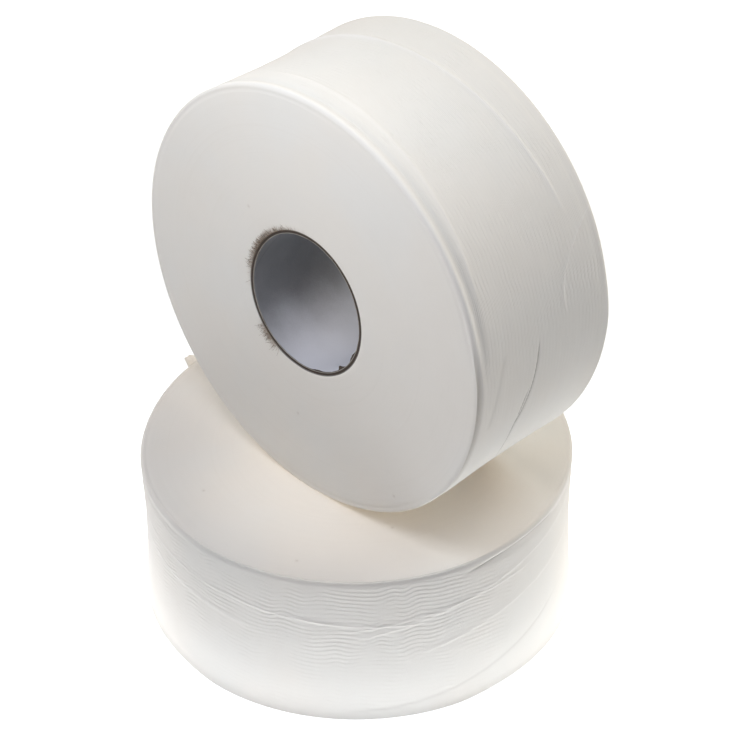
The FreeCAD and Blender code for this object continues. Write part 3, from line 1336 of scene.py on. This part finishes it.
upper_board = board("upper board", upper_place, level_turn, 1.0, 1.0)
lower_board = board("lower board", lower_place, upright_turn, 0.4, 0.0)
tube_tree = board_tube_tree()
grow(
    "upper_core_tube", tube_tree, "root", "board", "upper_roll_core",
    Place=upper_place, Turn=level_turn, Finish=upper_board, Seed=2.0,
)
grow(
    "lower_core_tube", tube_tree, "root", "board", "lower_roll_core",
    Place=lower_place, Turn=upright_turn, Finish=lower_board, Seed=7.0, Oval_share=0.4,
)

# %% [markdown]
# ## Fuzz round the mouth
#
# Sawing the core leaves a beard of brown fibres along part of the mouth. Each is far thinner than a
# hair's breadth on the photograph, but some hundreds together read as a soft brown fringe. The tree
# scatters points along an arc, thickest at the board, and puts a thin bent fibre on each.

# %% Fuzz tree
def random_value(tree, low, high, seed):
    node = tree.nodes.new("FunctionNodeRandomValue")
    node.data_type = "FLOAT"
    for entry, value in ((node.inputs[2], low), (node.inputs[3], high), (node.inputs["Seed"], seed)):
        feed(entry, value)
    return Field(node.outputs[1])


def bent_fibre(tree, length, thickness):
    """A thin three-sided tube along a bent line."""
    middle = vector_of(tree, length * 0.5, length * 0.16, length * 0.05)
    tip = vector_of(tree, length, length * 0.02, length * 0.2)
    bend = "GeometryNodeCurveQuadraticBezier"
    curve = add(tree, bend, Resolution=5, Start=(0, 0, 0), Middle=middle, End=tip).outputs["Curve"]
    outline = add(tree, "GeometryNodeCurvePrimitiveCircle", Resolution=3, Radius=thickness).outputs["Curve"]
    tube = add(tree, "GeometryNodeCurveToMesh", Curve=curve, Profile_Curve=outline, Fill_Caps=True)
    return tube.outputs["Mesh"]


def fuzz_tree():
    inputs = [("Count", "NodeSocketInt", 200)] + placing_inputs + number_inputs(
        Start_angle=1.7, Arc=1.4, Reach=1.2 * MM, Fibre_length=2.6 * MM, Fibre_thickness=0.04 * MM
    )
    tree, start, end = new_tree("Core fuzz", MESH, inputs, mesh_output)
    given = numbers_of(start)
    line = add(tree, "GeometryNodeMeshLine", Count=start.outputs["Count"])
    share = random_value(tree, 0.0, 1.0, 1) * 0.6 + random_value(tree, 0.0, 1.0, 2) * 0.4
    angle = given["Start angle"] + given["Arc"] * share
    outward = random_value(tree, 0.0, 1.0, 3)
    oval = use_group(tree, mouth[MESH], Angle=angle)
    radius = Field(oval.outputs["Out"]) + outward * outward * given["Reach"] + core_radius
    height = random_value(tree, -0.25 * MM, 0.35 * MM, 4) + roll_width
    placed = move_to(tree, line.outputs["Mesh"], on_circle(tree, angle, radius, height))
    fibre = bent_fibre(tree, given["Fibre length"], given["Fibre thickness"])
    heading = angle + random_value(tree, -0.8, 0.8, 5)
    turned = vector_of(tree, random_value(tree, -0.5, 0.5, 6), random_value(tree, -0.35, 0.02, 7), heading)
    size = random_value(tree, 0.4, 1.25, 8)
    scale = vector_of(tree, size, size, size)
    scatter = add(
        tree, "GeometryNodeInstanceOnPoints", Points=placed, Instance=fibre, Rotation=turned, Scale=scale
    )
    finish_tree(tree, start, end, scatter.outputs["Instances"])
    return tree


fuzz_dark = (0.10, 0.062, 0.038)
fuzz_light = (0.40, 0.28, 0.185)


def fibre_finish():
    material, tree, shader = new_material("saw fibres", 0.9)
    point = own_coordinates(tree, upper_place, level_turn)
    tone = ramp(noise(tree, point, 900.0, 2.0), -0.2, 0.2)
    feed(shader.inputs["Base Color"], mix_colour(tree, tone, fuzz_dark, fuzz_light))
    return material


print("fuzz tree and its finish ready")

# %% [markdown]
# ## Two tufts
#
# The fringe is long at the top left of the mouth and there is a short thick tuft at its lower left.

# %% Grow the fuzz
fuzz = fuzz_tree()
saw_fibres = fibre_finish()
grow(
    "upper_mouth_fuzz", fuzz, "root", "board", Count=280, Start_angle=math.radians(97),
    Arc=math.radians(88), Place=upper_place, Turn=level_turn, Finish=saw_fibres,
)
grow(
    "upper_mouth_tuft", fuzz, "root", "board", Count=90, Start_angle=math.radians(-143),
    Arc=math.radians(24), Reach=1.6 * MM, Fibre_length=3.2 * MM,
    Place=upper_place, Turn=level_turn, Finish=saw_fibres,
)

# %% [markdown]
# ## Floor
#
# The rolls stand on a white ground that glows like a light table close to them and lifts the lower
# roll's foot. A plain pale floor under soft lamps would come out grey, so this one gives off a little
# light of its own: a bright ring at the foot, a softer pool round it and a broad ring far out. The bright
# ring is left out at the back, where the lamps light the foot already. What the camera sees of the floor
# is lifted once more, with a Light Path node, to a clean white that adds no light to the rolls.

# %% Floor
floor_half = 4.0
floor_white = (0.95, 0.95, 0.95, 1.0)
glow_tint = (0.965, 0.985, 1.0, 1.0)
glow_foot = 1.16
glow_near = 0.5
glow_outer = 0.7
white_near = 0.5
white_far = 0.4

floor_mesh = bpy.data.meshes.new("floor")
corners = [(x * floor_half, y * floor_half, 0) for x, y in ((-1, -1), (1, -1), (1, 1), (-1, 1))]
floor_mesh.from_pydata(corners, [], [(0, 1, 2, 3)])
floor = bpy.data.objects.new("floor", floor_mesh)
scene.collection.objects.link(floor)
floor_finish, floor_tree, floor_shader = new_material("pale floor", 1.0)
floor_shader.inputs["Base Color"].default_value = floor_white
floor_shader.inputs["Emission Color"].default_value = glow_tint
floor_x, floor_y, _ = parts_of(floor_tree, own_coordinates(floor_tree, (0, 0, 0), (0, 0, 0)))
from_rolls = (floor_x * floor_x + floor_y * floor_y).act("SQRT")
towards_viewer = floor_x * math.sin(camera_turn) - floor_y * math.cos(camera_turn)


def glow_ring(inner, outer):
    """A soft ring of glow: it rises over the first pair of distances and falls over the second."""
    return ramp(from_rolls, *inner) * (1.0 - ramp(from_rolls, *outer))


foot_ring = glow_ring((0.113, 0.132), (0.132, 0.25)) * ramp(towards_viewer, -0.14, -0.01)
glow = foot_ring * glow_foot + (1.0 - ramp(from_rolls, 0.12, 0.32)) * glow_near
glow = glow + glow_ring((0.45, 0.65), (1.1, 1.3)) * glow_outer
camera_ray = Field(floor_tree.nodes.new("ShaderNodeLightPath").outputs["Is Camera Ray"])
glow = glow + camera_ray * (ramp(from_rolls, 0.9, 1.8) * white_far + white_near)
feed(floor_shader.inputs["Emission Strength"], glow)
floor_mesh.materials.append(floor_finish)
print("floor", 2 * floor_half, "m square")

# %% [markdown]
# ## Lamps
#
# Six soft squares stand round the rolls: two behind on the right, high and low, a low one behind on the
# left, two weaker ones overhead and in front, and a small one just over the shown end face, which gives
# that face its gentle fall from light to grey. What each lamp does alone was measured once, and their
# strengths were then matched together. They are placed in the picture's own terms: to its right, away
# from the viewer, and up.

# %% Lamps
picture_right = Vector((math.cos(camera_turn), math.sin(camera_turn), 0))
picture_away = Vector((-math.sin(camera_turn), math.cos(camera_turn), 0))
aim = Vector((0, 0, roll_width * 1.5))


def soft_light(name, right, away, height, side, power, tint):
    data = bpy.data.lights.new(name, "AREA")
    data.shape = "SQUARE"
    data.size = side
    data.energy = power
    data.color = tint
    light = bpy.data.objects.new(name, data)
    scene.collection.objects.link(light)
    place = picture_right * right + picture_away * away + Vector((0, 0, height))
    light.location = place
    light.rotation_euler = (aim - place).to_track_quat("-Z", "Y").to_euler()
    light.visible_camera = False


soft_light("in_front", -0.1, -0.5, 1.0, 0.7, 2.25, (0.92, 0.90, 1.0))
soft_light("overhead_right", 0.6, 0.2, 1.0, 0.6, 4.0, (0.93, 1.0, 0.99))
soft_light("behind_right", 1.2, 0.8, 1.0, 1.0, 6.4, (1.0, 0.70, 0.42))
soft_light("low_on_the_right", 1.2, 0.8, 0.3, 0.6, 4.6, (0.80, 0.88, 0.97))
soft_light("behind_left", -1.0, 0.9, 0.3, 0.6, 8.8, (1.0, 0.95, 0.92))
soft_light("over_the_face", -0.18, -0.155, 0.52, 0.2, 0.6, (0.96, 0.985, 1.0))
print("soft lamps set")

# %% [markdown]
# ## Light between the rolls
#
# Tissue lets light through and throws it back warm, so the hollow where the rolls meet is never dark.
# Solid-looking paper loses that light. A round lamp straight above gives it back: light linking lets it
# light the lower roll alone, and lets only that roll cast a shadow in it.

# %% The warm lamp
fill_power = 2.6
fill_tint = (1.0, 0.87, 0.70)
fill_softness = 0.02
fill_cone = math.radians(17)
fill_place = (0.02, -0.035, 0.7)

lower_alone = bpy.data.collections.new("lower roll alone")
for piece in (lower_roll, lower_sheet):
    lower_alone.objects.link(piece)
fill_data = bpy.data.lights.new("between_the_rolls", "SPOT")
fill_data.energy = fill_power
fill_data.color = fill_tint
fill_data.spot_size = fill_cone
fill_data.spot_blend = 1.0
fill_data.shadow_soft_size = fill_softness
fill_light = bpy.data.objects.new("between_the_rolls", fill_data)
fill_light.location = fill_place
fill_light.visible_camera = False
fill_light.light_linking.receiver_collection = lower_alone
fill_light.light_linking.blocker_collection = lower_alone
scene.collection.objects.link(fill_light)

# %% [markdown]
# ## The wall of the studio
#
# The world is a pale wall that only the camera sees, so views from the side have a light background and
# the light on the rolls stays that of the lamps and the floor.

# %% Pale surroundings
wall_tone = 0.93

world = bpy.data.worlds.new("studio")
scene.world = world
world.use_nodes = True
sky = world.node_tree.nodes["Background"]
sky.inputs["Color"].default_value = (1.0, 1.0, 1.0, 1.0)
light_path = world.node_tree.nodes.new("ShaderNodeLightPath")
feed(sky.inputs["Strength"], Field(light_path.outputs["Is Camera Ray"]) * wall_tone)
scene.view_settings.view_transform = "Standard"
print("surroundings set")
